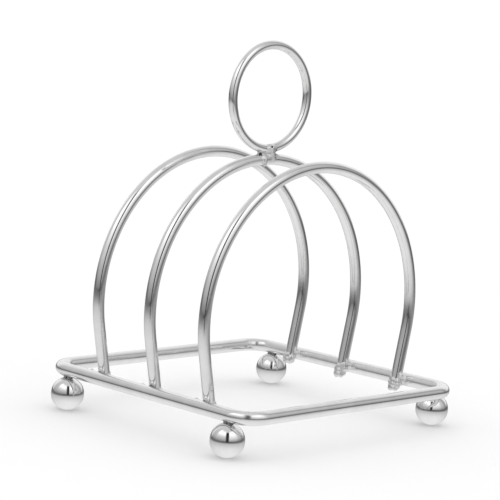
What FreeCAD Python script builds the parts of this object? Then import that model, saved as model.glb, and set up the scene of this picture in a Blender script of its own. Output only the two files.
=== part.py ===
"""Toast rack of welded wire: a rounded rectangular frame on four ball feet carries three
horseshoe arches, and a ring handle stands on the middle arch.

The frame is in millimetres with +Z up. The origin is on the table, at the centre of the
footprint. X runs across the rack, along the plane of each arch. Y runs along the row of
arches, so toast slides into the gaps between them from above.
"""
import FreeCAD, Part
import math
import os
import Sketcher

OUTPUT_FOLDER = "parts"

# Driving dimensions: alias, value in millimetres or degrees, meaning.
DIMENSIONS = [
    ("ball_diameter", 12.0, "solid ball feet"),
    ("frame_wire", 4.8, "wire diameter of the base frame"),
    ("arch_wire", 4.1, "wire diameter of the three arches"),
    ("handle_wire", 3.2, "wire diameter of the ring handle"),
    ("weld_gap", 0.1, "weld metal left between two welded surfaces"),
    ("rail_spacing", 104.0, "centre to centre of the long rails, across X"),
    ("frame_length", 102.0, "centre to centre of the short rails, along Y"),
    ("corner_radius", 8.0, "bend radius of the frame's corners, on the wire's centre"),
    ("seam_gap", 0.6, "gap between the frame wire's two ends, filled by the seam weld"),
    ("seam_crown", 0.05, "how far the seam weld stands out of the wire"),
    ("foot_spacing", 84.0, "centre to centre of the feet, along Y"),
    ("arch_pitch", 27.5, "centre to centre of neighbouring arches"),
    ("arch_radius", 52.0, "radius of an arch, on the wire's centre"),
    ("arch_centre_height", 42.8, "height of an arch's centre above the table"),
    ("leg_end_height", 11.4, "height of an arch's cut ends above the table"),
    ("wire_end_round", 0.7, "rounding of an arch's cut ends"),
    ("handle_radius", 18.6, "radius of the ring handle, on the wire's centre"),
    ("handle_gap_angle", 3.0, "open angle between the ring wire's two ends"),
    ("leg_weld_along", 3.7, "half length of a leg weld along the rail"),
    ("leg_weld_across", 1.9, "half width of a leg weld across the rail"),
    ("leg_weld_height", 2.1, "half height of a leg weld"),
    ("foot_weld_along", 2.3, "half length of a foot weld along the rail"),
    ("foot_weld_across", 1.8, "half width of a foot weld across the rail"),
    ("foot_weld_height", 1.1, "half height of a foot weld"),
    ("handle_weld_along", 3.6, "half length of the handle weld along the wires"),
    ("handle_weld_across", 2.3, "half width of the handle weld across the wires"),
    ("handle_weld_height", 2.5, "half height of the handle weld"),
    ("handle_weld_shift", 1.2, "how far the handle weld lies left of the ring's middle"),
]

# Expressions that several features share.
FRAME_HEIGHT = "(Sizes.ball_diameter + Sizes.weld_gap + Sizes.frame_wire / 2)"
RAIL_X = "(Sizes.rail_spacing / 2)"
SHORT_RAIL_Y = "(Sizes.frame_length / 2)"
RAIL_TO_CONTACT = "(Sizes.frame_wire / 2 + Sizes.weld_gap / 2)"
RAIL_TO_LEG = "(Sizes.frame_wire / 2 + Sizes.weld_gap + Sizes.arch_wire / 2)"
ARCH_TOP = "(Sizes.arch_centre_height + Sizes.arch_radius + Sizes.arch_wire / 2)"
HANDLE_BOTTOM = f"({ARCH_TOP} + Sizes.weld_gap)"
HANDLE_HEIGHT = f"({HANDLE_BOTTOM} + Sizes.handle_wire / 2 + Sizes.handle_radius)"

ARCH_PLACES = [("rear", 1), ("middle", 0), ("front", -1)]
SIDES = [("left", -1), ("right", 1)]

doc = FreeCAD.newDocument("toast_rack")


def make_sheet():
    """The spreadsheet that holds every driving dimension under its alias."""
    sheet = doc.addObject("Spreadsheet::Sheet", "Sizes")
    for row, (alias, value, meaning) in enumerate(DIMENSIONS, start=1):
        sheet.set(f"A{row}", alias)
        sheet.set(f"B{row}", str(value))
        sheet.setAlias(f"B{row}", alias)
        sheet.set(f"C{row}", meaning)
    doc.recompute()
    return sheet


sheet = make_sheet()


def size(alias):
    """A driving dimension as a plain number, for first guesses of sketch geometry."""
    return float(sheet.get(alias))


def frame_height():
    return size("ball_diameter") + size("weld_gap") + size("frame_wire") / 2


def rail_to_leg():
    return size("frame_wire") / 2 + size("weld_gap") + size("arch_wire") / 2


def leg_lean():
    """Angle of a leg from vertical, so that it meets both its arc and the rail's side."""
    rise = size("arch_centre_height") - frame_height()
    reach = size("rail_spacing") / 2
    ratio = (size("arch_radius") + rail_to_leg()) / math.hypot(rise, reach)
    return math.atan2(rise, reach) - math.acos(ratio)


def vector(x, y, z=0.0):
    return FreeCAD.Vector(x, y, z)


def new_body(label):
    body = doc.addObject("PartDesign::Body", label)
    body.Label = label
    return body


def sketch_on(body, plane, name, offset=None):
    """A sketch on one of the body's origin planes, moved along its normal by an expression."""
    sketch = body.newObject("Sketcher::SketchObject", name)
    feature = next(f for f in body.Origin.OriginFeatures if f.Role == plane)
    sketch.AttachmentSupport = [(feature, "")]
    sketch.MapMode = "FlatFace"
    if offset:
        sketch.setExpression("AttachmentOffset.Base.z", offset)
    return sketch


def constrain(sketch, kind, *arguments, to=None):
    """Adds a constraint and, when it is a dimension, binds it to an expression."""
    index = sketch.addConstraint(Sketcher.Constraint(kind, *arguments))
    if to:
        sketch.setExpression(f"Constraints[{index}]", to)
    return index


def read_out(sketch, name, kind, *arguments):
    """A named dimension that reports a length and drives nothing."""
    index = constrain(sketch, kind, *arguments)
    sketch.setDriving(index, False)
    sketch.renameConstraint(index, name)


def wire_section(body, plane, x, y, diameter, offset=None, at=None):
    """A round wire section: a circle at (x, y). `at` holds the expressions for its centre's
    x and y; a centre without the first one is held on the sketch's vertical axis."""
    sketch = sketch_on(body, plane, "WireSection", offset)
    circle = sketch.addGeometry(Part.Circle(vector(x, y), vector(0, 0, 1), size(diameter) / 2))
    constrain(sketch, "Diameter", circle, size(diameter), to=f"Sizes.{diameter}")
    if at[0] is None:
        constrain(sketch, "PointOnObject", circle, 3, -2)
    else:
        constrain(sketch, "DistanceX", -1, 1, circle, 3, x, to=at[0])
    constrain(sketch, "DistanceY", -1, 1, circle, 3, y, to=at[1])
    return sketch


def sweep(body, section, path):
    pipe = body.newObject("PartDesign::AdditivePipe", "WireSweep")
    pipe.Profile = section
    pipe.Spine = (path, [])
    return pipe


def frame_path(body):
    """The frame's centre line: a rounded rectangle that starts and ends at the seam."""
    half_x = size("rail_spacing") / 2
    half_y = size("frame_length") / 2
    bend = size("corner_radius")
    half_gap = size("seam_gap") / 2
    sketch = sketch_on(body, "XY_Plane", "FramePath", FRAME_HEIGHT)

    points = [
        (half_x, half_gap),
        (half_x, half_y - bend),
        (half_x - bend, half_y),
        (bend - half_x, half_y),
        (-half_x, half_y - bend),
        (-half_x, bend - half_y),
        (bend - half_x, -half_y),
        (half_x - bend, -half_y),
        (half_x, bend - half_y),
        (half_x, -half_gap),
    ]
    straights = []
    for start, end in zip(points[0::2], points[1::2]):
        straights.append(sketch.addGeometry(Part.LineSegment(vector(*start), vector(*end))))
    corners = []
    for quarter, (sign_x, sign_y) in enumerate([(1, 1), (-1, 1), (-1, -1), (1, -1)]):
        centre = vector(sign_x * (half_x - bend), sign_y * (half_y - bend))
        circle = Part.Circle(centre, vector(0, 0, 1), bend)
        first = quarter * math.pi / 2
        corners.append(sketch.addGeometry(Part.ArcOfCircle(circle, first, first + math.pi / 2)))

    for corner, (before, after) in zip(corners, zip(straights, straights[1:])):
        constrain(sketch, "Tangent", before, 2, corner, 1)
        constrain(sketch, "Tangent", after, 1, corner, 2)
    for line in straights[0::2]:
        constrain(sketch, "Vertical", line)
    for line in straights[1::2]:
        constrain(sketch, "Horizontal", line)
    for corner in corners[1:]:
        constrain(sketch, "Equal", corners[0], corner)
    constrain(sketch, "Radius", corners[0], bend, to="Sizes.corner_radius")
    constrain(sketch, "DistanceX", -1, 1, straights[0], 1, half_x, to=RAIL_X)
    constrain(sketch, "DistanceX", -1, 1, straights[4], 2, half_x, to=RAIL_X)
    constrain(sketch, "DistanceX", straights[2], 1, -1, 1, half_x, to=RAIL_X)
    constrain(sketch, "DistanceY", -1, 1, straights[1], 1, half_y, to=SHORT_RAIL_Y)
    constrain(sketch, "DistanceY", straights[3], 1, -1, 1, half_y, to=SHORT_RAIL_Y)
    constrain(sketch, "DistanceY", -1, 1, straights[0], 1, half_gap, to="Sizes.seam_gap / 2")
    constrain(sketch, "DistanceY", straights[4], 2, -1, 1, half_gap, to="Sizes.seam_gap / 2")
    return sketch


def make_frame():
    """The base frame: one bent wire whose two ends meet at the seam on the right rail."""
    body = new_body("base_frame_wire")
    path = frame_path(body)
    section = wire_section(
        body, "XZ_Plane", size("rail_spacing") / 2, frame_height(), "frame_wire",
        offset="-Sizes.seam_gap / 2", at=(RAIL_X, FRAME_HEIGHT))
    sweep(body, section, path)
    return body


def arch_path(body, place):
    """An arch's centre line: an arc of more than half a turn with tangent, leaning legs."""
    radius = size("arch_radius")
    height = size("arch_centre_height")
    lean = leg_lean()
    joint_x = radius * math.cos(lean)
    joint_z = height - radius * math.sin(lean)
    end_z = size("leg_end_height")
    end_x = joint_x - (joint_z - end_z) * math.tan(lean)
    sketch = sketch_on(body, "XZ_Plane", "ArchPath", f"{-place} * Sizes.arch_pitch")

    circle = Part.Circle(vector(0, height), vector(0, 0, 1), radius)
    left = sketch.addGeometry(Part.LineSegment(vector(-end_x, end_z), vector(-joint_x, joint_z)))
    arc = sketch.addGeometry(Part.ArcOfCircle(circle, -lean, math.pi + lean))
    right = sketch.addGeometry(Part.LineSegment(vector(joint_x, joint_z), vector(end_x, end_z)))
    rail_x = size("rail_spacing") / 2
    rail = vector(rail_x, frame_height())
    to_leg = vector(-math.cos(lean), math.sin(lean))
    contact = rail + to_leg * (size("frame_wire") / 2 + size("weld_gap") / 2)
    spoke = sketch.addGeometry(Part.LineSegment(rail, rail + to_leg * rail_to_leg()), True)
    weld = sketch.addGeometry(Part.Point(contact), True)

    constrain(sketch, "PointOnObject", arc, 3, -2)
    constrain(sketch, "DistanceY", -1, 1, arc, 3, height, to="Sizes.arch_centre_height")
    constrain(sketch, "Radius", arc, radius, to="Sizes.arch_radius")
    constrain(sketch, "Tangent", arc, 1, right, 1)
    constrain(sketch, "Tangent", arc, 2, left, 2)
    constrain(sketch, "Symmetric", left, 1, right, 2, -2)
    constrain(sketch, "DistanceY", -1, 1, right, 2, end_z, to="Sizes.leg_end_height")
    constrain(sketch, "DistanceX", -1, 1, spoke, 1, rail_x, to=RAIL_X)
    constrain(sketch, "DistanceY", -1, 1, spoke, 1, rail.y, to=FRAME_HEIGHT)
    constrain(sketch, "Perpendicular", spoke, right)
    constrain(sketch, "PointOnObject", spoke, 2, right)
    constrain(sketch, "Distance", spoke, rail_to_leg(), to=RAIL_TO_LEG)
    constrain(sketch, "PointOnObject", weld, 1, spoke)
    constrain(sketch, "Distance", spoke, 1, weld, 1, rail.distanceToPoint(contact),
              to=RAIL_TO_CONTACT)
    read_out(sketch, "weld_x", "DistanceX", -1, 1, weld, 1, contact.x)
    read_out(sketch, "weld_z", "DistanceY", -1, 1, weld, 1, contact.y)
    return sketch


def round_wire_ends(body, feature):
    """Rounds the edges of the two lowest faces, the cut ends of an arch's legs."""
    doc.recompute()
    shape = feature.Shape
    ends = sorted(shape.Faces, key=lambda face: face.CenterOfMass.z)[:2]
    names = []
    for number, edge in enumerate(shape.Edges, start=1):
        if any(edge.isSame(other) for face in ends for other in face.Edges):
            names.append(f"Edge{number}")
    fillet = body.newObject("PartDesign::Fillet", "EndRounding")
    fillet.Base = (feature, names)
    fillet.Radius = size("wire_end_round")
    fillet.setExpression("Radius", "Sizes.wire_end_round")
    body.Tip = fillet


def make_arch(name, place):
    """One horseshoe arch; place is 1, 0 or -1 along the row."""
    body = new_body(f"{name}_arch")
    path = arch_path(body, place)
    top = size("arch_centre_height") + size("arch_radius")
    section = wire_section(
        body, "YZ_Plane", place * size("arch_pitch"), top, "arch_wire",
        at=(f"{place} * Sizes.arch_pitch" if place else None,
            "Sizes.arch_centre_height + Sizes.arch_radius"))
    pipe = sweep(body, section, path)
    round_wire_ends(body, pipe)
    return body, path


def make_handle():
    """The ring handle: a wire turned about an axis along Y, open at the bottom."""
    body = new_body("handle_ring")
    centre = size("arch_centre_height") + size("arch_radius") + size("arch_wire") / 2
    centre += size("weld_gap") + size("handle_wire") / 2 + size("handle_radius")
    section = wire_section(
        body, "YZ_Plane", 0.0, centre + size("handle_radius"), "handle_wire",
        at=(None, f"{HANDLE_HEIGHT} + Sizes.handle_radius"))
    half_axis = size("handle_wire")
    axis = section.addGeometry(
        Part.LineSegment(vector(-half_axis, centre), vector(half_axis, centre)), True)
    constrain(section, "Symmetric", axis, 1, axis, 2, -2)
    constrain(section, "DistanceX", axis, 1, axis, 2, 2 * half_axis, to="2 * Sizes.handle_wire")
    constrain(section, "DistanceY", -1, 1, axis, 1, centre, to=HANDLE_HEIGHT)
    turn = body.newObject("PartDesign::Revolution", "RingTurn")
    turn.Profile = section
    turn.ReferenceAxis = (section, ["Axis0"])
    turn.Midplane = True
    turn.Angle = 360 - size("handle_gap_angle")
    turn.setExpression("Angle", "360 - Sizes.handle_gap_angle")
    return body


def place_at(feature, x, y, z):
    """Binds the three coordinates of a feature's place to expressions."""
    for axis, expression in zip("xyz", (x, y, z)):
        feature.setExpression(f"Placement.Base.{axis}", expression)


def make_foot(end, along, side, across):
    """A ball foot under the start of a corner bend of one long rail."""
    ball = doc.addObject("Part::Sphere", f"foot_ball_{end}_{side}")
    ball.setExpression("Radius", "Sizes.ball_diameter / 2")
    place_at(ball, f"{across} * {RAIL_X}", f"{along} * Sizes.foot_spacing / 2",
             "Sizes.ball_diameter / 2")
    return ball


def bead(name, across, along, high):
    """An ellipsoid of weld metal: half sizes across X, along Y and high along Z."""
    blob = doc.addObject("Part::Ellipsoid", name)
    blob.setExpression("Radius1", high)
    blob.setExpression("Radius2", across)
    blob.setExpression("Radius3", along)
    blob.Angle1 = -90
    blob.Angle2 = 90
    blob.Angle3 = 360
    return blob


def cut_from(blob, neighbours, label):
    """The weld metal that is left outside the wires and balls it joins."""
    tool = neighbours[0]
    if len(neighbours) > 1:
        tool = doc.addObject("Part::MultiFuse", f"{label}_neighbours")
        tool.Shapes = neighbours
    weld = doc.addObject("Part::Cut", label)
    weld.Base = blob
    weld.Tool = tool
    weld.Label = label
    return weld


def make_seam_weld():
    """The butt weld that closes the frame wire, dressed almost flush with it."""
    weld = doc.addObject("Part::Cylinder", "frame_seam_weld")
    weld.setExpression("Radius", "Sizes.frame_wire / 2 + Sizes.seam_crown")
    weld.setExpression("Height", "Sizes.seam_gap")
    weld.Placement.Rotation = FreeCAD.Rotation(vector(1, 0, 0), -90)
    place_at(weld, RAIL_X, "-Sizes.seam_gap / 2", FRAME_HEIGHT)
    return weld


def make_leg_weld(name, place, side, across, arch, path, neighbours):
    """The weld between an arch's leg and the inner side of a long rail."""
    label = f"weld_{name}_arch_{side}"
    blob = bead(f"{label}_bead", "Sizes.leg_weld_across", "Sizes.leg_weld_along",
                "Sizes.leg_weld_height")
    place_at(blob, f"{across} * {path.Name}.Constraints.weld_x",
             f"{place} * Sizes.arch_pitch", f"{path.Name}.Constraints.weld_z")
    return cut_from(blob, [arch, *neighbours], label)


def make_foot_weld(ball, frame):
    """The small collar of weld metal between a ball's top and the rail."""
    label = ball.Label.replace("foot_ball", "weld_foot")
    blob = bead(f"{label}_bead", "Sizes.foot_weld_across", "Sizes.foot_weld_along",
                "Sizes.foot_weld_height")
    place_at(blob, f"{ball.Name}.Placement.Base.x", f"{ball.Name}.Placement.Base.y",
             "Sizes.ball_diameter + Sizes.weld_gap / 2")
    return cut_from(blob, [frame, ball], label)


def make_handle_weld(arch, ring):
    """The saddle of weld metal that holds the ring on the middle arch and joins the ring
    wire's ends."""
    label = "weld_handle"
    blob = bead(f"{label}_bead", "Sizes.handle_weld_along", "Sizes.handle_weld_across",
                "Sizes.handle_weld_height")
    place_at(blob, "-Sizes.handle_weld_shift", "0", f"{ARCH_TOP} + Sizes.weld_gap / 2")
    return cut_from(blob, [arch, ring], label)


def make_rack():
    """Every piece of the rack, in the order in which it is welded together."""
    frame = make_frame()
    seam = make_seam_weld()
    arches = {name: make_arch(name, place) for name, place in ARCH_PLACES}
    ring = make_handle()
    feet = [
        make_foot(end, along, side, across)
        for end, along in (("rear", 1), ("front", -1))
        for side, across in SIDES
    ]
    doc.recompute()
    pieces = [frame, seam, *(arch for arch, path in arches.values()), ring, *feet]
    for name, place in ARCH_PLACES:
        arch, path = arches[name]
        for side, across in SIDES:
            pieces.append(make_leg_weld(name, place, side, across, arch, path, [frame, seam]))
    pieces.extend(make_foot_weld(ball, frame) for ball in feet)
    pieces.append(make_handle_weld(arches["middle"][0], ring))
    doc.recompute()
    return pieces


def check_document():
    """Stops when any object of the document failed to compute."""
    for item in doc.Objects:
        if {"Invalid", "Error"} & set(item.State):
            raise RuntimeError(f"{item.Label} failed: {item.State}")


def export(pieces):
    """Writes each piece's solids, named by its label."""
    for piece in pieces:
        shape = piece.Shape
        if shape.isNull() or not shape.isValid() or not shape.Solids:
            raise RuntimeError(f"{piece.Label} has no valid solid")
    os.makedirs(OUTPUT_FOLDER, exist_ok=True)
    for piece in pieces:
        shape = piece.Shape
        print(f"{piece.Label}: {len(shape.Solids)} solid(s), {shape.Volume:.2f} mm3")
        shape.exportStep(os.path.join(OUTPUT_FOLDER, f"{piece.Label}.step"))


pieces = make_rack()
check_document()
export(pieces)
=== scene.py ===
import math

import bmesh
import bpy
import numpy as np
from mathutils import Matrix, Vector, noise


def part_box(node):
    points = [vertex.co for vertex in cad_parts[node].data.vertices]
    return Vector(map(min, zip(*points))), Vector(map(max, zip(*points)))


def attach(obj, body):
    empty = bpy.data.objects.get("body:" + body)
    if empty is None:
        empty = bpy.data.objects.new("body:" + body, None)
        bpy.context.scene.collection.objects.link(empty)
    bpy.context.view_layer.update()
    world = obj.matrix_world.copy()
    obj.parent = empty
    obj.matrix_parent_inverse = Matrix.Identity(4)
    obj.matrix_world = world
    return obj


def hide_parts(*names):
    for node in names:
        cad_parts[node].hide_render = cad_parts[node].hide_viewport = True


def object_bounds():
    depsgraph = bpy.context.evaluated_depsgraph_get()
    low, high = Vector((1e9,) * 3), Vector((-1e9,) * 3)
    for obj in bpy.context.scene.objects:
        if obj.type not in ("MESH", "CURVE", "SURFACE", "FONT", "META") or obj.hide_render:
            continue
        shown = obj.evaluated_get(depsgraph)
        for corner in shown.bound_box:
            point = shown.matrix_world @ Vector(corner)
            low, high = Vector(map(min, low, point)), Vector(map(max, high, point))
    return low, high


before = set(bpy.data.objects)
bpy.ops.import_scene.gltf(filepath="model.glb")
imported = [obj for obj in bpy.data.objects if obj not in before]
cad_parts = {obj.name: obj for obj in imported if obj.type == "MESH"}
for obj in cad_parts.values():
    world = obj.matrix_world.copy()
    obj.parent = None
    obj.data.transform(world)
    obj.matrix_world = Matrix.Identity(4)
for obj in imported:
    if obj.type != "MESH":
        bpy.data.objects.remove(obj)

# The welded wire toast rack around its CAD frame. Metres, +Z up, origin on the table at the
# centre of the footprint; arches stand in planes of constant Y. Every wire, ball and weld is
# rebuilt here as a finer mesh on the CAD piece's own sizes, which are read from its box. Every
# seed is a fixed number, so each run makes the same rack.

BODY = "root"
MM = 0.001
UP = Vector((0, 0, 1))
REARWARD = Vector((0, 1, 0))

CORNER_RADIUS = 8 * MM            # the frame's corner bends, on the wire's centre
WIRE_END_ROUND = 0.7 * MM         # the rounding of an arch's cut ends
HANDLE_OPENING = math.radians(3)  # between the ring wire's two ends, inside the handle weld

CORNER_FLATTENING = 0.025         # the share of its width that the wire loses in a corner bend

FRAME_SIDES = 56                  # flats round each wire's mesh
ARCH_SIDES = 48
RING_SIDES = 44

# Hand-bent wire wavers: lengths and size of its line's waves, how far from a wire's ends they
# reach full size, and length and share of its thickness's waves.
LINE_WAVES = (23 * MM, 31 * MM)
LINE_WAVER = 0.07 * MM
CALM = 9 * MM
THICKNESS_WAVE = 11 * MM
THICKNESS_WAVER = 0.004

cad_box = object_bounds()


# ---------------------------------------------------------------- sizes, read from the frame

def middle(node):
    low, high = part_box(node)
    return (low + high) / 2


frame_low, frame_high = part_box("base_frame_wire")
FRAME_R = (frame_high.z - frame_low.z) / 2
FRAME_Z = (frame_high.z + frame_low.z) / 2
RAIL_X = frame_high.x - FRAME_R
SHORT_RAIL_Y = frame_high.y - FRAME_R

arch_low, arch_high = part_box("middle_arch")
ARCH_R = (arch_high.y - arch_low.y) / 2
ARCH_RADIUS = arch_high.x - ARCH_R
ARCH_Z = arch_high.z - arch_high.x
ARCH_TOP = ARCH_Z + ARCH_RADIUS + ARCH_R
LEG_END_Z = arch_low.z
ARCHES = {name: middle(f"{name}_arch").y for name in ("rear", "middle", "front")}

ring_low, ring_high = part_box("handle_ring")
RING_R = (ring_high.y - ring_low.y) / 2
RING_RADIUS = (ring_high.z - ring_low.z) / 2 - RING_R
RING_Z = (ring_high.z + ring_low.z) / 2

BALLS = {
    f"{end}_{side}": middle(f"foot_ball_{end}_{side}")
    for end in ("rear", "front")
    for side in ("left", "right")
}
BALL_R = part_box("foot_ball_front_left")[1].z / 2
WELD_GAP = frame_low.z - 2 * BALL_R

# The legs lean inwards so that each touches its arc and, across the weld gap, the rail.
RAIL_TO_LEG = FRAME_R + WELD_GAP + ARCH_R
LEAN = math.atan2(ARCH_Z - FRAME_Z, RAIL_X) - math.acos(
    (ARCH_RADIUS + RAIL_TO_LEG) / math.hypot(ARCH_Z - FRAME_Z, RAIL_X))
LEG_TOP = Vector((ARCH_RADIUS * math.cos(LEAN), ARCH_Z - ARCH_RADIUS * math.sin(LEAN)))
LEG_DROP = LEG_TOP.y - LEG_END_Z - ARCH_R * math.sin(LEAN)
LEG_END = Vector((LEG_TOP.x - LEG_DROP * math.tan(LEAN), LEG_TOP.y - LEG_DROP))


# ---------------------------------------------------------------- wire paths

def line(start, end, step):
    """Points from start up to, but not including, end."""
    start, end = Vector(start), Vector(end)
    count = max(1, round((end - start).length / step))
    return [start.lerp(end, i / count) for i in range(count)]


def arc(centre, radius, first, last, step):
    """Points of an arc in a plane, up to, but not including, its last angle."""
    count = max(2, round(radius * abs(last - first) / step))
    angles = [first + (last - first) * i / count for i in range(count)]
    return [Vector((centre[0] + radius * math.cos(angle), centre[1] + radius * math.sin(angle)))
            for angle in angles]


def frame_path(step=1.1 * MM):
    """The frame's centre line, counter-clockwise from the middle of the right rail."""
    x, y, bend = RAIL_X, SHORT_RAIL_Y, CORNER_RADIUS
    quarter = math.pi / 2
    corners = [
        (x - bend, y - bend),
        (bend - x, y - bend),
        (bend - x, bend - y),
        (x - bend, bend - y),
    ]
    straights = [
        ((x - bend, y), (bend - x, y)),
        ((-x, y - bend), (-x, bend - y)),
        ((bend - x, -y), (x - bend, -y)),
        ((x, bend - y), (x, 0)),
    ]
    points = line((x, 0), (x, y - bend), step)
    for number, (corner, (start, end)) in enumerate(zip(corners, straights)):
        points += arc(corner, bend, number * quarter, (number + 1) * quarter, step / 2)
        points += line(start, end, step)
    return [Vector((point.x, point.y, FRAME_Z)) for point in points]


def arch_path(y, step=1.1 * MM):
    """An arch's centre line, from the left leg's end over the top to the right leg's end."""
    points = line((-LEG_END.x, LEG_END.y), (-LEG_TOP.x, LEG_TOP.y), step)
    points += arc((0, ARCH_Z), ARCH_RADIUS, math.pi + LEAN, -LEAN, step)
    points += line(LEG_TOP, LEG_END, step)
    points.append(LEG_END)
    return [Vector((point.x, y, point.y)) for point in points]


def ring_path(step=0.8 * MM):
    """The ring handle's centre line, open at the bottom."""
    first = -math.pi / 2 + HANDLE_OPENING / 2
    last = 1.5 * math.pi - HANDLE_OPENING / 2
    points = arc((0, RING_Z), RING_RADIUS, first, last, step)
    points.append(Vector((RING_RADIUS * math.cos(last), RING_Z + RING_RADIUS * math.sin(last))))
    return [Vector((point.x, 0, point.y)) for point in points]


# ---------------------------------------------------------------- wires

def new_piece(name, mesh, material, node):
    """A smooth-shaded piece that stands for a CAD node and rides on the rack's one body. It is
    held inside the CAD's box."""
    for vertex in mesh.vertices:
        vertex.co = [min(max(value, low), high) for value, low, high in zip(vertex.co, *cad_box)]
    for polygon in mesh.polygons:
        polygon.use_smooth = True
    mesh.materials.append(material)
    piece = bpy.data.objects.new(name, mesh)
    bpy.context.scene.collection.objects.link(piece)
    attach(piece, BODY)
    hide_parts(node)


def new_mesh(name, build):
    """The mesh of a finished bmesh, which is freed."""
    mesh = bpy.data.meshes.new(name)
    build.to_mesh(mesh)
    build.free()
    return mesh


def waver(distance, seed, length, amount):
    """Smooth noise along a wire: zero mean, changing over the given length."""
    row = seed * 7.31  # far enough apart for unrelated noise
    return amount * noise.noise(Vector((distance / length, row, 0.5)))


def stations(path, across, closed, seed):
    """Where a wire's sections stand: centre, direction and distance along the wire. The line
    wavers a little, as hand-bent wire does, except where it starts and ends."""
    lengths = [0.0]
    for first, second in zip(path, path[1:]):
        lengths.append(lengths[-1] + (second - first).length)
    total = lengths[-1] + ((path[0] - path[-1]).length if closed else 0)
    places = []
    for index, (centre, distance) in enumerate(zip(path, lengths)):
        after = path[(index + 1) % len(path)] if closed else path[min(index + 1, len(path) - 1)]
        before = path[index - 1] if closed else path[max(index - 1, 0)]
        ahead = (after - before).normalized()
        drift = min(1.0, distance / CALM, (total - distance) / CALM)
        outward = ahead.cross(across)
        moved = centre + outward * waver(distance, seed, LINE_WAVES[0], LINE_WAVER) * drift
        moved += across * waver(distance, seed + 1, LINE_WAVES[1], LINE_WAVER) * drift
        places.append((moved, ahead, distance))
    return places, total


def rounded_end(place, inward, radius, distance):
    """Growing sections that round a cut end: (centre, direction, distance, scale)."""
    centre, ahead = place[:2]
    rims = []
    for share in (0.0, 0.15, 0.35, 0.6, 0.85):
        turn = math.pi / 2 * share
        inset = WIRE_END_ROUND * (1 - math.cos(turn))
        depth = WIRE_END_ROUND * (1 - math.sin(turn))
        rims.append((centre + inward * ahead * inset, ahead, distance, 1 - depth / radius))
    return rims


def skin(build, uv, rings, turn):
    """Faces between neighbouring rings of vertices. Each ring comes with its distance along the
    wire, and turn is the length round the wire from one vertex to the next."""
    for (near, near_at), (far, far_at) in zip(rings, rings[1:]):
        for side in range(len(near)):
            after = (side + 1) % len(near)
            face = build.faces.new((near[side], near[after], far[after], far[side]))
            corners = ((near_at, side), (near_at, side + 1), (far_at, side + 1), (far_at, side))
            for loop, (along, around) in zip(face.loops, corners):
                loop[uv].uv = (along, around * turn)


def close_end(build, ring):
    centre = build.verts.new(sum((v.co for v in ring), Vector()) / len(ring))
    for near, far in zip(ring, ring[1:] + ring[:1]):
        build.faces.new((near, far, centre))


def wire(name, path, across, radius, closed, sides, seed, squeeze=None):
    """A round wire along a planar path, whose plane's normal is across. squeeze gives the share
    of its width that a section keeps at a point. The UV map runs along and around the wire, in
    metres."""
    places, total = stations(path, across, closed, seed)
    rims = [(*place, 1.0) for place in places]
    if not closed:
        first = rounded_end(places[0], 1, radius, 0.0)
        last = rounded_end(places[-1], -1, radius, total)
        rims = first + rims[1:-1] + last[::-1]

    build = bmesh.new()
    uv = build.loops.layers.uv.new("wire")
    rings = []
    for centre, ahead, distance, scale in rims:
        outward = ahead.cross(across)
        flat = squeeze(centre) if squeeze else 1.0
        thickness = 1 + waver(distance, seed + 3, THICKNESS_WAVE, THICKNESS_WAVER)
        reach = scale * radius * thickness
        ring = []
        for side in range(sides):
            angle = 2 * math.pi * side / sides
            ring.append(build.verts.new(centre + outward * (math.cos(angle) * reach * flat)
                                        + across * (math.sin(angle) * reach / flat ** 0.5)))
        rings.append((ring, distance))

    if closed:
        rings.append((rings[0][0], total))
    skin(build, uv, rings, 2 * math.pi * radius / sides)
    if not closed:
        close_end(build, rings[0][0])
        close_end(build, rings[-1][0])
    bmesh.ops.recalc_face_normals(build, faces=build.faces)
    return new_mesh(name, build)


# ---------------------------------------------------------------- meshes of distance fields

def sampled(field, grid, step):
    """The field on a grid: sampled coarsely, then again in full where it is near zero."""
    skip, margin = 3, 6.5 * step
    coarse = field(grid[::skip, ::skip, ::skip])
    nearest = [np.minimum((np.arange(fine) + 1) // skip, few - 1)
               for fine, few in zip(grid.shape, coarse.shape)]
    value = coarse[np.ix_(*nearest)]
    near = np.abs(value) < margin
    value[near] = field(grid[near])
    return value


def crossed_edges(value, grid, step, axis):
    """The grid's edges along an axis where the value changes sign: the points of the change,
    the four cells round each edge, in order, and whether the value rises along it."""
    near = [slice(None)] * 3
    near[axis] = slice(None, -1)
    far = [slice(None)] * 3
    far[axis] = slice(1, None)
    here, there = value[tuple(near)], value[tuple(far)]
    crossed = (here < 0) != (there < 0)
    points = grid[tuple(near)][crossed]
    points[:, axis] += step * here[crossed] / (here[crossed] - there[crossed])

    first, second = [other for other in range(3) if other != axis]
    cells = []
    for back_first, back_second in ((0, 0), (1, 0), (1, 1), (0, 1)):
        cell = np.argwhere(crossed) + 1
        cell[:, first] -= back_first
        cell[:, second] -= back_second
        cells.append(tuple(cell.T))
    return points, cells, here[crossed] < 0


def surface_net(field, low, high, step):
    """A closed mesh of the surface where field is zero. Each crossed cell has one point, at the
    mean of the crossings on its edges."""
    shape = np.ceil((high - low) / step).astype(int) + 1
    ticks = [start + step * np.arange(count) for start, count in zip(low, shape)]
    grid = np.stack(np.meshgrid(*ticks, indexing="ij"), -1)
    value = sampled(field, grid, step)
    edges = [crossed_edges(value, grid, step, axis) for axis in range(3)]

    total = np.zeros((*(shape + 1), 3))
    hits = np.zeros(shape + 1)
    for points, cells, _ in edges:
        for cell in cells:
            np.add.at(total, cell, points)
            np.add.at(hits, cell, 1)
    used = hits > 0
    number = np.full(used.shape, -1)
    number[used] = np.arange(used.sum())

    faces = []
    for axis, (_, cells, rising) in enumerate(edges):
        quads = np.stack([number[cell] for cell in cells], -1)
        turned = rising if axis != 1 else ~rising
        quads[~turned] = quads[~turned][:, ::-1]
        faces.append(quads)
    return total[used] / hits[used][:, None], np.concatenate(faces)


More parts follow.
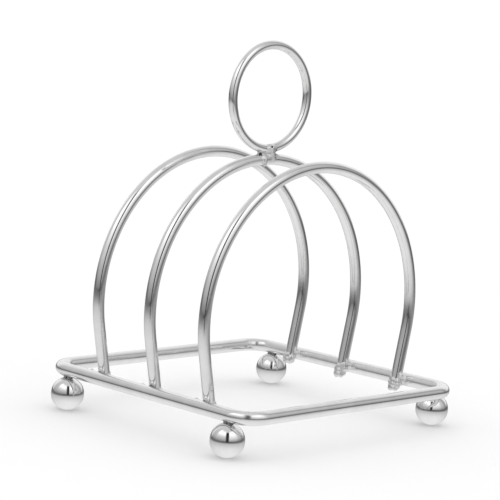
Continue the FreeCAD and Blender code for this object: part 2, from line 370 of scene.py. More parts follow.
def smooth_union(first, second, blend):
    """The smaller of two distances, with a fillet of about the blend's size between them."""
    overlap = np.maximum(blend - np.abs(first - second), 0) / blend
    return np.minimum(first, second) - overlap ** 2 * blend / 4


def smooth_greater(first, second, blend):
    """The greater of two distances, with an edge rounded by about the blend's size."""
    return -smooth_union(-first, -second, blend)


def lumps(points, size, seed):
    """Smooth noise between about -1 and 1 at many points, from sine waves in a few directions."""
    random = np.random.default_rng(seed)
    total = np.zeros(points.shape[:-1])
    for _ in range(9):
        wave = random.normal(size=3)
        wave *= random.uniform(0.6, 1.5) * 2 * math.pi / size / np.linalg.norm(wave)
        total += np.sin(points @ wave + random.uniform(0, 2 * math.pi))
    return total / 4


def ball_distance(points, centre, radius):
    return np.linalg.norm(points - np.array(centre), axis=-1) - radius


def rod_distance(points, start, end, radius):
    """Distance to a round rod with domed ends."""
    start, end = np.array(start), np.array(end)
    along = end - start
    share = np.clip((points - start) @ along / (along @ along), 0, 1)
    return np.linalg.norm(points - start - share[..., None] * along, axis=-1) - radius


def hoop_distance(points, centre_z, hoop, radius):
    """Distance to a round wire bent to a circle in the XZ plane at y = 0."""
    flat = np.hypot(points[..., 0], points[..., 2] - centre_z) - hoop
    return np.hypot(flat, points[..., 1]) - radius


def arch_distance(points, skin_on=0.0):
    """Distance to the middle arch's arc, or to a skin on it."""
    return hoop_distance(points, ARCH_Z, ARCH_RADIUS, ARCH_R + skin_on)


def ring_distance(points, skin_on=0.0):
    """Distance to the handle ring, or to a skin on it."""
    return hoop_distance(points, RING_Z, RING_RADIUS, RING_R + skin_on)


def rail_distance(points, x):
    """Distance to a long rail of the frame."""
    return np.hypot(points[..., 0] - x, points[..., 2] - FRAME_Z) - FRAME_R


def leg_distance(points, across, y):
    """Distance to the straight leg of an arch, cut square at its end."""
    top = np.array((across * LEG_TOP.x, y, LEG_TOP.y))
    end = np.array((across * LEG_END.x, y, LEG_END.y))
    ahead = (end - top) / np.linalg.norm(end - top)
    offset = points - end
    along = offset @ ahead
    radial = np.linalg.norm(offset - along[..., None] * ahead, axis=-1)
    return smooth_greater(radial - ARCH_R, along, WIRE_END_ROUND)


def rod(start, end, radius):
    return lambda points: rod_distance(points, start, end, radius)


def blob(centre, radius):
    return lambda points: ball_distance(points, centre, radius)


# ---------------------------------------------------------------- node trees

class Nodes:
    """Short calls to build a material's or a world's node tree."""

    def __init__(self, tree):
        self.tree = tree
        tree.nodes.clear()

    def add(self, kind, **settings):
        node = self.tree.nodes.new(kind)
        for key, value in settings.items():
            setattr(node, key, value)
        return node

    def feed(self, socket, value):
        if isinstance(value, bpy.types.NodeSocket):
            self.tree.links.new(value, socket)
        else:
            socket.default_value = value

    def math(self, operation, *values):
        node = self.add("ShaderNodeMath", operation=operation)
        for socket, value in zip(node.inputs, values):
            self.feed(socket, value)
        return node.outputs[0]

    def product(self, first, *others):
        for other in others:
            first = self.math("MULTIPLY", first, other)
        return first

    def total(self, first, *others):
        for other in others:
            first = self.math("ADD", first, other)
        return first

    def length(self, first, second):
        return self.math("SQRT", self.total(self.product(first, first), self.product(second, second)))

    def along(self, x, y, direction):
        """How far a place on the floor lies in a level direction."""
        return self.total(self.product(x, direction.x), self.product(y, direction.y))

    def parts(self, vector):
        """A vector's x, y and z."""
        node = self.add("ShaderNodeSeparateXYZ")
        self.feed(node.inputs[0], vector)
        return node.outputs

    def noise(self, vector, scale, detail=3.0, rough=0.55):
        """Noise with this many lumps to the metre."""
        node = self.add("ShaderNodeTexNoise")
        self.feed(node.inputs["Vector"], vector)
        node.inputs["Scale"].default_value = scale
        node.inputs["Detail"].default_value = detail
        node.inputs["Roughness"].default_value = rough
        return node.outputs["Fac"]

    def span(self, value, low, high, to_low=0.0, to_high=1.0, kind="SMOOTHSTEP"):
        """A step from to_low to to_high while the value goes from low to high."""
        node = self.add("ShaderNodeMapRange", interpolation_type=kind, clamp=True)
        for socket, number in zip(node.inputs, (value, low, high, to_low, to_high)):
            self.feed(socket, number)
        return node.outputs[0]

    def ramp(self, value, stops):
        """A grey ramp: stops are (position, brightness) pairs."""
        node = self.add("ShaderNodeValToRGB")
        self.feed(node.inputs[0], value)
        elements = node.color_ramp.elements
        while len(elements) < len(stops):
            elements.new(0.5)
        for element, (position, grey) in zip(elements, stops):
            element.position = position
            element.color = (grey, grey, grey, 1)
        return node.outputs[0]

    def mix(self, share, first, second):
        node = self.add("ShaderNodeMix", data_type="FLOAT")
        for socket, value in zip(node.inputs[0:1] + node.inputs[2:4], (share, first, second)):
            self.feed(socket, value)
        return node.outputs[0]

    def either(self, share, first, second):
        """A mix of two shaders' outputs."""
        node = self.add("ShaderNodeMixShader")
        for socket, value in zip(node.inputs, (share, first.outputs[0], second.outputs[0])):
            self.feed(socket, value)
        return node.outputs[0]

    def stretched(self, vector, scale):
        node = self.add("ShaderNodeMapping")
        self.feed(node.inputs["Vector"], vector)
        node.inputs["Scale"].default_value = scale
        return node.outputs[0]


def new_material(name):
    material = bpy.data.materials.new(name)
    material.use_nodes = True
    nodes = Nodes(material.node_tree)
    return material, nodes, nodes.add("ShaderNodeOutputMaterial").inputs["Surface"]


# ---------------------------------------------------------------- metals

PLATING_TINT = (1.0, 0.999, 0.998)
# Painted shade: the near-black grey and dull roughness given to weld crevices, pits and dark spots
# where shade falls.
PAINTED_SHADE_GREY = 0.05
PAINTED_SHADE_ROUGHNESS = 0.6
BEND_ROUGHNESS = 0.13        # what a tight bend adds to the roughness
WIRE_DRAW = (0.02, 1, 1)     # lines run along a wire, fifty times longer than wide
BALL_TURN = (0.25, 0.25, 1)  # lines run round a ball, four times longer than wide
BUMP_HEIGHT = 0.02 * MM
BUMP_STRENGTH = 0.5


def plated(name, tone, roughness, scratch, pore, along_wire):
    """Bright plated metal. Fine lines run along a wire or round a ball, the polish is a little
    uneven, and shallow waves under the plating bend the reflections. It is painted dark and
    dull where a mesh marks painted shade, and duller where the wire is bent. scratch and pore
    are the heights of the lines and pores as a share of the waves'."""
    material, nodes, surface = new_material(name)
    shader = nodes.add("ShaderNodeBsdfPrincipled")
    nodes.feed(surface, shader.outputs[0])
    place = nodes.add("ShaderNodeTexCoord").outputs["Object"]
    if along_wire:
        drawn = nodes.stretched(nodes.add("ShaderNodeUVMap", uv_map="wire").outputs[0], WIRE_DRAW)
    else:
        drawn = nodes.stretched(place, BALL_TURN)
    lines = nodes.noise(drawn, scale=9000, detail=2)
    cloud = nodes.noise(place, scale=160, detail=4, rough=0.6)
    haze = nodes.noise(place, scale=620)
    waves = nodes.noise(place, scale=230, detail=1)
    pores = nodes.span(nodes.noise(place, scale=1900, detail=2), 0.66, 0.78)

    # Painted shade: where the mesh marks shade, the colour is painted near black and the polish dull.
    painted_shade = nodes.add("ShaderNodeAttribute", attribute_name="painted_shade").outputs["Fac"]
    grey = nodes.total(tone, nodes.span(cloud, 0.35, 0.7, -0.03, 0.03, "LINEAR"))
    grey = nodes.mix(painted_shade, grey, PAINTED_SHADE_GREY)
    colour = nodes.add("ShaderNodeCombineColor")
    for socket, share in zip(colour.inputs, PLATING_TINT):
        nodes.feed(socket, nodes.product(grey, share))
    nodes.feed(shader.inputs["Base Color"], colour.outputs[0])
    nodes.feed(shader.inputs["Metallic"], 1.0)

    bent = nodes.add("ShaderNodeAttribute", attribute_name="bent").outputs["Fac"]
    dull = nodes.span(nodes.product(cloud, haze), 0.2, 0.42)
    rough = nodes.total(roughness, nodes.product(dull, roughness * 0.8),
                        nodes.product(bent, BEND_ROUGHNESS),
                        nodes.span(lines, 0.45, 0.75, 0.0, roughness * 0.6))
    nodes.feed(shader.inputs["Roughness"], nodes.mix(painted_shade, rough, PAINTED_SHADE_ROUGHNESS))

    height = nodes.total(waves, nodes.product(lines, scratch), nodes.product(pores, -pore))
    bump = nodes.add("ShaderNodeBump")
    bump.inputs["Distance"].default_value = BUMP_HEIGHT
    bump.inputs["Strength"].default_value = BUMP_STRENGTH
    nodes.feed(bump.inputs["Height"], height)
    nodes.feed(shader.inputs["Normal"], bump.outputs[0])
    return material


WIRE_METAL = plated("plated_wire", 0.80, roughness=0.08, scratch=0.04, pore=0.0, along_wire=True)
BALL_METAL = plated("plated_ball", 0.80, roughness=0.045, scratch=0.02, pore=0.0, along_wire=False)
WELD_METAL = plated("plated_weld", 0.72, roughness=0.30, scratch=0.1, pore=0.3, along_wire=False)


# ---------------------------------------------------------------- wires, balls and seam

def corner_share(point):
    """How far into a corner bend of the frame a point lies: 1 is the middle of the bend."""
    inner_x = abs(point.x) - (RAIL_X - CORNER_RADIUS)
    inner_y = abs(point.y) - (SHORT_RAIL_Y - CORNER_RADIUS)
    if inner_x <= 0 or inner_y <= 0:
        return 0.0
    return math.sin(2 * math.atan2(inner_y, inner_x))


def corner_squeeze(point):
    """A tight bend flattens the wire a little, in the plane of the bend."""
    return 1 - CORNER_FLATTENING * corner_share(point)


def make_wires():
    mesh = wire("frame_wire", frame_path(), UP, FRAME_R, True, FRAME_SIDES, 1, corner_squeeze)
    bent = mesh.attributes.new("bent", "FLOAT", "POINT")
    for vertex, mark in zip(mesh.vertices, bent.data):
        mark.value = corner_share(vertex.co)
    new_piece("frame_wire", mesh, WIRE_METAL, "base_frame_wire")
    for number, (name, y) in enumerate(ARCHES.items()):
        seed = 10 + 7 * number
        mesh = wire(f"{name}_arch_wire", arch_path(y), REARWARD, ARCH_R, False, ARCH_SIDES, seed)
        new_piece(f"{name}_arch_wire", mesh, WIRE_METAL, f"{name}_arch")
    mesh = wire("handle_wire", ring_path(), REARWARD, RING_R, False, RING_SIDES, 41)
    new_piece("handle_wire", mesh, WIRE_METAL, "handle_ring")


def make_balls():
    """Solid ball feet, a thousandth or two out of round."""
    wave, amount = 5 * MM, 0.0008
    for seed, (name, centre) in enumerate(BALLS.items()):
        build = bmesh.new()
        bmesh.ops.create_icosphere(build, subdivisions=6, radius=BALL_R)
        for vertex in build.verts:
            out_of_round = noise.noise(vertex.co / wave + Vector((seed, 0, 0)))
            vertex.co *= 1 - amount * (1 + out_of_round)
            vertex.co += centre
        mesh = new_mesh(f"ball_{name}", build)
        new_piece(f"ball_{name}", mesh, BALL_METAL, f"foot_ball_{name}")


def make_seam():
    """The frame wire's butt weld, dressed to a faint ring."""
    half, rows = 1.0 * MM, 10
    crown, under = 0.09 * MM, 0.04 * MM
    path = [Vector((RAIL_X, half * i / rows, FRAME_Z)) for i in range(-rows, rows + 1)]
    mesh = wire("frame_seam", path, UP, FRAME_R, False, FRAME_SIDES, 61)
    for vertex in mesh.vertices:
        outward = Vector((vertex.co.x - RAIL_X, 0, vertex.co.z - FRAME_Z))
        if outward.length > FRAME_R / 2:
            rise = crown * math.cos(math.pi / 2 * vertex.co.y / half) ** 2 - under
            vertex.co += outward.normalized() * rise
    new_piece("frame_seam", mesh, WELD_METAL, "frame_seam_weld")


# ---------------------------------------------------------------- weld metal

WELD_STEP = 0.13 * MM    # the grid of a weld's mesh
WELD_UNDER = 0.03 * MM   # how far under the wires' surfaces weld metal ends
BEAD_MELT = 0.5 * MM     # the fillet round a bead
PIT_EDGE = 0.25 * MM     # the rounding of a pit's rim
PROUD = 0.25 * MM        # how far above the wires weld metal has its full lumps
LUMP = (2.4 * MM, 0.07 * MM)    # size and height of weld metal's lumps
GRAIN = (1.0 * MM, 0.025 * MM)  # and of its finer grain
CREVICE_FROM = 1.25 * MM  # the sum of the distances to both wires where a crevice's painted shade starts
CREVICE_FADE = 0.7 * MM   # and how much less it is where the crevice's painted shade is darkest


def weld_field(wires, beads, fillet, pits, seed):
    """The distance to weld metal: a fillet over two wires, with beads melted into it, lumps
    where it stands proud of the wires, and pits sunk into it."""
    def field(points):
        distances = [distance(points) for distance in wires]
        bare = np.minimum(*distances)
        metal = smooth_union(*distances, fillet)
        for bead in beads:
            metal = smooth_union(metal, bead(points), BEAD_MELT)
        proud = np.clip((bare - metal) / PROUD, 0, 1)
        for (size, height), number in ((LUMP, seed), (GRAIN, seed + 50)):
            metal += proud * height * lumps(points, size, number)
        for spot, size in pits:
            metal = smooth_greater(metal, -ball_distance(points, spot, size), PIT_EDGE)
        return metal + WELD_UNDER
    return field


def closed_mesh(name, field, centre, reach):
    """The mesh of a field, which closes inside the wires at about the reach from the centre:
    past a share of the reach, the metal sinks."""
    centre, reach = np.array(centre), np.array(reach)
    whole, sink = 0.75, 6 * MM
    room = reach * 1.25

    def closing(points):
        away = (((points - centre) / reach) ** 4).sum(-1) ** 0.25
        return field(points) + np.maximum(away - whole, 0) * sink

    points, faces = surface_net(closing, centre - room, centre + room, WELD_STEP)
    mesh = bpy.data.meshes.new(name)
    mesh.from_pydata(points.tolist(), [], faces.tolist())
    mesh.validate()
    build = bmesh.new()
    build.from_mesh(mesh)
    bmesh.ops.smooth_vert(build, verts=build.verts, factor=0.5, use_axis_x=True,
                          use_axis_y=True, use_axis_z=True)
    bmesh.ops.recalc_face_normals(build, faces=build.faces)
    build.to_mesh(mesh)
    build.free()
    return mesh


def mark_painted_shade(mesh, wires, spots, crevice):
    """Marks painted shade: in the crevice between the wires, by the given share, and at
    the spots, (place, size) pairs, whose marks fade out half a size outside them."""
    places = np.array([vertex.co for vertex in mesh.vertices])
    apart = sum(np.maximum(distance(places), 0) for distance in wires)
    painted_shade = crevice * np.clip((CREVICE_FROM - apart) / CREVICE_FADE, 0, 1)
    for spot, size in spots:
        outside = ball_distance(places, spot, size) / (0.5 * size)
        painted_shade = np.maximum(painted_shade, np.clip(1 - outside, 0, 1))
    mesh.attributes.new("painted_shade", "FLOAT", "POINT").data.foreach_set("value", painted_shade)


def make_weld(name, node, wires, beads, centre, reach, fillet, seed, pits=(), shade_spots=(), crevice=0.6):
    """Weld metal between two wires, or a wire and a ball, with painted shade in its crevice, pits and
    dark spots.
    """
    mesh = closed_mesh(name, weld_field(wires, beads, fillet, pits, seed), centre, reach)
    mark_painted_shade(mesh, wires, (*pits, *shade_spots), crevice)
    new_piece(name, mesh, WELD_METAL, node)


def leg_beads(across, y, random):
    """Lumps where a leg meets its rail: three runs of metal, with a bead on each, down the
    leg's end, two beads on its front side, a rod from its rear side to the rail, and a spatter
    on top of the rail."""
    def draw(low, high):
        return random.uniform(low, high) * MM

    def by_leg(outward, rearward, z):
        """A place at height z, this far outward and rearward of the leg's centre line."""
        leg_x = LEG_END.x + (z - LEG_END.y) * math.tan(LEAN)
        return across * (leg_x + outward), y + rearward, z

    def round_leg(angle, out, z):
        """A place round the leg. Angle 0 faces the rack's middle, and a quarter turn the front."""
        return by_leg(-out * math.cos(angle), -out * math.sin(angle), z)

    beads = []
    for turn in (-50, 4, 60):
        angle = math.radians(turn + random.uniform(-7, 7))
        top = FRAME_Z + draw(-0.7, 1.2)
        bottom = LEG_END_Z + draw(0.3, 1.1)
        start, end = round_leg(angle, 1.65 * MM, top), round_leg(angle, 1.35 * MM, bottom)
        beads.append(rod(start, end, draw(0.9, 1.1)))
        height = top + (bottom - top) * random.uniform(0.2, 0.8)
        beads.append(blob(round_leg(angle + 0.2, 1.8 * MM, height), draw(0.9, 1.1)))

    front_z = FRAME_Z + (0.4 if across > 0 else -0.6) * MM + draw(-0.7, 0.7)
    front = np.array(by_leg(1.2 * MM, -draw(2.6, 2.9), front_z))
    beads.append(blob(front, draw(1.25, 1.5)))
    beads.append(blob(front + np.array((-0.7 * across, 0.6, -1.4)) * MM, draw(0.8, 1.0)))

    rear = by_leg(0.5 * MM, 1.8 * MM, FRAME_Z + draw(-0.2, 0.6))
    rail_side = (across * (RAIL_X - FRAME_R), y + 2.2 * MM, FRAME_Z - 1.0 * MM)
    beads.append(rod(rear, rail_side, draw(0.85, 1.0)))

    rail_top = FRAME_Z + FRAME_R
    spatter = (across * (RAIL_X - 1.0 * MM), y + draw(2.3, 2.7), rail_top - 0.35 * MM)
    beads.append(blob(spatter, draw(0.5, 0.7)))
    return beads


def make_leg_welds():
    reach = (5.4 * MM, 5.4 * MM, 6.0 * MM)
    inward, above = 4.1 * MM, 0.1 * MM  # where a weld's middle is, from the rail's centre
    for row, (name, y) in enumerate(ARCHES.items()):
        for across, side in ((-1, "left"), (1, "right")):
            seed = 100 + 2 * row + (across > 0)
            centre = (across * (RAIL_X - inward), y, FRAME_Z + above)
            wires = (lambda points: rail_distance(points, across * RAIL_X),
                     lambda points: leg_distance(points, across, y))
            beads = leg_beads(across, y, np.random.default_rng(seed))
            make_weld(f"weld_{name}_{side}", f"weld_{name}_arch_{side}", wires, beads,
                      centre, reach, fillet=1.0 * MM, seed=seed)


def make_foot_welds():
    """A short neck of weld metal between each ball and its rail, with pits round it that are painted
    dark as shade.
    """
    reach = (3.4 * MM, 3.8 * MM, 2.6 * MM)
    half_length, neck_r = 0.6 * MM, 1.2 * MM
    pit_out, pit_size = 1.6 * MM, 0.5 * MM
    for number, (name, ball) in enumerate(BALLS.items()):
        x, y, z = ball.x, ball.y, 2 * BALL_R + WELD_GAP / 2
        wires = (lambda points: rail_distance(points, ball.x),
                 lambda points: ball_distance(points, ball, BALL_R))
        neck = rod((x, y - half_length, z), (x, y + half_length, z), neck_r)
        pits = []
        for angle in (math.radians(turn) for turn in (-78, -167, 55)):
            spot = (x + pit_out * math.cos(angle), y + pit_out * math.sin(angle), z - 0.1 * MM)
            pits.append((spot, pit_size))
        make_weld(f"weld_foot_{name}", f"weld_foot_{name}", wires, [neck], (x, y, z), reach,
                  fillet=0.8 * MM, seed=200 + number, pits=pits)


def make_handle_weld():
    """The nugget under the ring: a waisted block that reaches over the front of both wires,
    with a collar round the arch and a cap round the ring. A drip hangs at its left, a rim
    stands over a pore in the crevice that is painted dark as shade, and spots of painted shade
    run down its right side, where shade falls in its waist."""
    side_edge, flat_edge = 1.8 * MM, 1.2 * MM  # the rounding of the collar's and cap's edges

    def place(x, y, z):
        """A place in millimetres from the top of the arch."""
        return (x * MM, y * MM, ARCH_TOP + z * MM)

    def within(distance, points, centre_x, half):
        """The part of a distance field at most half a width to either side."""
        return smooth_greater(distance, np.abs(points[..., 0] - centre_x) - half, side_edge)

    def collar(points):
        around = within(arch_distance(points, 0.34 * MM), points, -0.7 * MM, 3.6 * MM)
        return smooth_greater(around, ARCH_TOP - 3.4 * MM - points[..., 2], flat_edge)

    def cap(points):
        around = within(ring_distance(points, 0.36 * MM), points, 1.0 * MM, 2.7 * MM)
        return smooth_greater(around, points[..., 2] - ARCH_TOP - 3.0 * MM, flat_edge)

    waist = rod(place(1.0, -0.75, -0.8), place(1.0, -0.75, 1.7), 1.8 * MM)
    drip = rod(place(-2.6, -2.1, -1.9), place(-2.7, -1.95, -4.0), 0.62 * MM)
    rim = rod(place(-3.4, -0.1, 0), place(-4.0, -0.5, -0.1), 0.9 * MM)
    pits = [(place(-4.4, -1.3, -0.15), 0.62 * MM), (place(0.4, -1.9, 2.45), 0.34 * MM)]
    # Painted shade: dark spots down the nugget's right edge, standing in for its shadowed waist.
    shade_spots = [(place(*spot), 0.42 * MM)
              for spot in ((3.4, -1.5, 1.2), (3.2, -1.4, 0.7), (2.9, -0.9, 0.1), (3.4, -0.7, 0.15),
                           (3.9, -0.5, 0.2), (2.9, -1.5, -0.6), (3.0, -1.9, -1.2))]
    make_weld("weld_handle_nugget", "weld_handle", (arch_distance, ring_distance),
              [collar, cap, waist, drip, rim], place(-0.5, 0, -0.3),
              (7.0 * MM, 4.6 * MM, 5.6 * MM), fillet=1.4 * MM, seed=301, pits=pits,
              shade_spots=shade_spots, crevice=0.3)


make_wires()
make_balls()
make_leg_welds()
make_foot_welds()
make_handle_weld()
make_seam()


# ---------------------------------------------------------------- studio

CAMERA_AZIMUTH = math.radians(-44.67)
CAMERA_ELEVATION = math.radians(7.64)
CAMERA_ROLL = math.radians(3.62)
CAMERA_DISTANCE = 0.759
CAMERA_AIM = Vector((-5.5, 0, 62)) * MM
CAMERA_LENS = 152.0
CAMERA_SENSOR = 36.0

FLOOR_HALF = 3.0
FLOOR_GREY = 0.93
ROOM_WHITE = 1.09   # the even light on the floor, so that it is as white as the backdrop
PANEL_RADIUS = 0.75
PANEL_INNER_RADIUS = 0.42  # at the edge beside the camera
PANEL_FOOT = 0.03
PANEL_HEIGHT = 1.75
PANEL_GLOW = 1.65
PANEL_GAP = 2.5            # degrees between the camera and a panel's edge, at its foot
PANEL_GAP_GROWTH = 10.0    # and what its height adds
TABLE_RADIUS = 0.62

# What the metal sees, as (position, brightness) pairs. For the table, position 0 is a level
# ray and 1 a ray straight down; for a diffuser, 0 is its foot and 1 its top; for the room, 0 is
# the horizon and 1 the zenith.
# The two table ramps are painted reflections of the table in the metal; TABLE_BY_FOOT is darker,
# painted shade beside a foot.
OPEN_TABLE = [(0.0, 0.15), (0.056, 0.19), (0.095, 0.34), (0.133, 0.58),
              (0.167, 0.72), (0.22, 0.80), (0.33, 0.87), (0.5, 0.95)]
TABLE_BY_FOOT = [(0.0, 0.15), (0.056, 0.19), (0.09, 0.32), (0.144, 0.50),
                 (0.22, 0.66), (0.33, 0.80), (0.5, 0.92), (0.75, 0.98)]
LEFT_DIFFUSER = [(0.0, 0.15), (0.04, 0.23), (0.08, 0.30), (0.13, 0.36), (0.18, 0.44),
                 (0.25, 0.55), (0.34, 0.74), (0.45, 0.89), (0.6, 0.80), (1.0, 0.5)]
RIGHT_DIFFUSER = [(0.0, 0.17), (0.04, 0.27), (0.08, 0.39), (0.13, 0.49), (0.18, 0.57),
                  (0.25, 0.65), (0.34, 0.77), (0.45, 0.89), (0.6, 0.80), (1.0, 0.5)]
ROOM = [(0.0, 0.15), (0.03, 0.25), (0.09, 0.41), (0.2, 0.56), (0.3, 0.62),
        (0.45, 0.66), (0.75, 0.72), (1.0, 0.72)]


def toward(azimuth, elevation):
    """The direction from the rack to a place at that azimuth and elevation."""
    return Vector((math.sin(azimuth) * math.cos(elevation),
                   -math.cos(azimuth) * math.cos(elevation), math.sin(elevation)))


VIEW_RIGHT = Vector((math.cos(CAMERA_AZIMUTH), math.sin(CAMERA_AZIMUTH), 0))
VIEW_NEAR = toward(CAMERA_AZIMUTH, 0)  # level, to below the camera


def make_camera():
    camera = bpy.data.objects.new("camera", bpy.data.cameras.new("camera"))
    bpy.context.scene.collection.objects.link(camera)
    back = toward(CAMERA_AZIMUTH, CAMERA_ELEVATION)
    up = back.cross(VIEW_RIGHT)
    turned_right = VIEW_RIGHT * math.cos(CAMERA_ROLL) + up * math.sin(CAMERA_ROLL)
    turned_up = up * math.cos(CAMERA_ROLL) - VIEW_RIGHT * math.sin(CAMERA_ROLL)
    place = Matrix((turned_right, turned_up, back)).transposed().to_4x4()
    place.translation = CAMERA_AIM + back * CAMERA_DISTANCE
    camera.matrix_world = place
    camera.data.lens = CAMERA_LENS
    camera.data.sensor_width = CAMERA_SENSOR
    camera.data.clip_start = 0.01
    bpy.context.scene.camera = camera


def new_stage_object(name, mesh):
    """An object that belongs to the studio."""
    stage_object = bpy.data.objects.new(name, mesh)
    bpy.context.scene.collection.objects.link(stage_object)
    return stage_object


def table_glow(nodes):
    """How bright the metal sees the table: a painted reflection, glowing only for reflected rays.
    It darkens towards the horizon, with painted shade beside a foot, darkness past the table's
    edge in line with the camera, a painted shadow of the rack on the right, and a painted shadow
    of the camera's stand in a streak that runs up to the camera."""
    geometry = nodes.add("ShaderNodeNewGeometry")
    rise = nodes.parts(geometry.outputs["Incoming"])[2]
    steepness = nodes.product(nodes.math("ARCSINE", rise), 2 / math.pi)
    x, y, _ = nodes.parts(geometry.outputs["Position"])

    # painted shade on the table beside a foot
    foot = BALLS["rear_right"]
    from_foot = nodes.length(nodes.total(nodes.math("ABSOLUTE", x), -foot.x),
                             nodes.total(nodes.math("ABSOLUTE", y), -foot.y))
    glow = nodes.mix(nodes.span(from_foot, 12 * MM, 40 * MM),
                     nodes.ramp(steepness, TABLE_BY_FOOT), nodes.ramp(steepness, OPEN_TABLE))

    aside = nodes.math("ABSOLUTE", nodes.along(x, y, VIEW_RIGHT))
    past_edge = nodes.span(nodes.length(x, y), 0.85 * TABLE_RADIUS, TABLE_RADIUS)
    glow = nodes.product(glow, nodes.mix(past_edge, 1.0, nodes.span(aside, 0.10, 0.55, 0.2, 1.0)))
    # painted shadow of the rack, darker on the right
    glow = nodes.product(glow, nodes.span(x, 70 * MM, 170 * MM, 1.0, 0.82))
    # painted shadow of the camera's stand: a dark streak running up to the camera
    painted_stand_shadow = nodes.product(nodes.span(aside, 0.02, 0.08, 0.6, 0.0),
                           nodes.span(nodes.along(x, y, VIEW_NEAR), 0.17, 0.30))
    return nodes.product(glow, nodes.math("SUBTRACT", 1.0, painted_stand_shadow))


def make_floor():
    """A pale floor. In the metal it glows instead, with a painted reflection of a white table in a
    dark room and painted shadows on it.
    """
    mesh = bpy.data.meshes.new("floor")
    corners = [(x * FLOOR_HALF, y * FLOOR_HALF, 0) for x, y in ((-1, -1), (1, -1), (1, 1), (-1, 1))]
    mesh.from_pydata(corners, [], [(0, 1, 2, 3)])
    material, nodes, surface = new_material("pale_floor")
    paint = nodes.add("ShaderNodeBsdfDiffuse")
    nodes.feed(paint.inputs["Color"], (FLOOR_GREY, FLOOR_GREY, FLOOR_GREY, 1))
    reflected = nodes.add("ShaderNodeEmission")
    nodes.feed(reflected.inputs["Color"], table_glow(nodes))
    in_metal = nodes.add("ShaderNodeLightPath").outputs["Is Glossy Ray"]
    nodes.feed(surface, nodes.either(in_metal, paint, reflected))
    mesh.materials.append(material)
    new_stage_object("floor", mesh)


def panel_mesh(name, side):
    """A curved sheet round the rack from beside the camera to almost a right angle from it. The
    gap beside the camera widens upwards. The UV map runs from 0 to 1 across and up the sheet."""
    outer = math.radians(88)
    growing = 0.35  # the share of the columns over which the radius grows to its full size
    columns, rows = 40, 30
    points, faces = [], []
    for row in range(rows + 1):
        inner = math.radians(PANEL_GAP + PANEL_GAP_GROWTH * (row / rows) ** 0.8)
        height = PANEL_FOOT + PANEL_HEIGHT * row / rows
        for column in range(columns + 1):
            azimuth = CAMERA_AZIMUTH + side * (inner + (outer - inner) * column / columns)
            share = min(1.0, column / columns / growing)
            radius = PANEL_INNER_RADIUS + (PANEL_RADIUS - PANEL_INNER_RADIUS) * share
            spot = toward(azimuth, 0) * radius
            points.append((spot.x, spot.y, height * radius / PANEL_RADIUS))
    for row in range(rows):
        for column in range(columns):
            corner = row * (columns + 1) + column
            faces.append((corner, corner + 1, corner + columns + 2, corner + columns + 1))
    mesh = bpy.data.meshes.new(name)
    mesh.from_pydata(points, [], faces)
    uv = mesh.uv_layers.new(name="panel")
    for loop in mesh.loops:
        row, column = divmod(loop.vertex_index, columns + 1)
        uv.data[loop.index].uv = (column / columns, row / rows)
    return mesh


def make_panel(name, side, rise, inner_fade, outer_fade):
    """A tall curved diffuser beside the camera, seen only in reflections. side is -1 for left
    and 1 for right; rise is its brightness up its height, and the fades soften its edges."""
    mesh = panel_mesh(name, side)
    material, nodes, surface = new_material(name)
    column, row, _ = nodes.parts(nodes.add("ShaderNodeUVMap", uv_map="panel").outputs[0])
    glow = nodes.add("ShaderNodeEmission")
    nodes.feed(glow.inputs["Color"], nodes.ramp(row, rise))
    nodes.feed(glow.inputs["Strength"], PANEL_GLOW)
    edges = nodes.product(nodes.span(column, 0.0, inner_fade),
                          nodes.span(column, 1.0 - outer_fade, 1.0, 1.0, 0.0))
    nodes.feed(surface, nodes.either(edges, nodes.add("ShaderNodeBsdfTransparent"), glow))
    mesh.materials.append(material)
    panel = new_stage_object(name, mesh)
    panel.visible_camera = False
    panel.visible_diffuse = False
    panel.visible_shadow = False


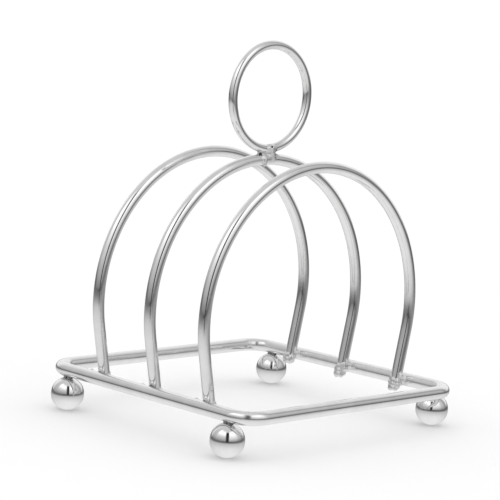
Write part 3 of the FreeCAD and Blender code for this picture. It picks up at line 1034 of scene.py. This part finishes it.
def room_glow(nodes):
    """How bright the metal sees the room: dark at the horizon, black behind the slit between
    the diffusers, dim in a gap past the right diffuser, with a pale backdrop behind the rack.
    Angles are in degrees, from the camera's azimuth and from the horizon."""
    turned = nodes.add("ShaderNodeVectorRotate", rotation_type="Z_AXIS")
    nodes.feed(turned.inputs["Vector"], nodes.add("ShaderNodeTexCoord").outputs["Generated"])
    turned.inputs["Angle"].default_value = -CAMERA_AZIMUTH
    x, y, z = nodes.parts(turned.outputs[0])
    degrees = 180 / math.pi
    height = nodes.product(nodes.math("ARCSINE", z), degrees)
    azimuth = nodes.product(nodes.math("ARCTAN2", x, nodes.product(y, -1.0)), degrees)
    off_axis = nodes.math("ABSOLUTE", azimuth)
    off_gap = nodes.math("ABSOLUTE", nodes.total(azimuth, -112.0))

    slit = nodes.product(nodes.span(off_axis, 24.0, 34.0, 1.0, 0.0),
                         nodes.span(height, 55.0, 68.0, 1.0, 0.0))
    gap = nodes.product(nodes.span(off_gap, 5.0, 14.0, 1.0, 0.0),
                        nodes.span(height, 60.0, 75.0, 1.0, 0.0))
    backdrop = nodes.product(nodes.span(off_axis, 112.0, 142.0),
                             nodes.span(height, 0.0, 6.0),
                             nodes.span(height, 30.0, 60.0, 1.0, 0.0))
    grey = nodes.ramp(nodes.math("DIVIDE", height, 90.0), ROOM)
    grey = nodes.mix(slit, grey, 0.03)
    grey = nodes.mix(nodes.product(gap, 0.5), grey, 0.2)
    return nodes.mix(backdrop, grey, 1.0)


def make_world():
    """White, even light all round for the floor, and a grey room for the metal."""
    world = bpy.data.worlds.new("studio")
    bpy.context.scene.world = world
    world.use_nodes = True
    nodes = Nodes(world.node_tree)
    in_metal = nodes.add("ShaderNodeLightPath").outputs["Is Glossy Ray"]
    background = nodes.add("ShaderNodeBackground")
    nodes.feed(background.inputs["Color"], nodes.mix(in_metal, ROOM_WHITE, room_glow(nodes)))
    output = nodes.add("ShaderNodeOutputWorld")
    nodes.feed(output.inputs["Surface"], background.outputs[0])


make_camera()
make_floor()
make_panel("left_diffuser", -1, LEFT_DIFFUSER, inner_fade=0.13, outer_fade=0.1)
make_panel("right_diffuser", 1, RIGHT_DIFFUSER, inner_fade=0.1, outer_fade=0.4)
make_world()
bpy.context.scene.view_settings.view_transform = "Standard"
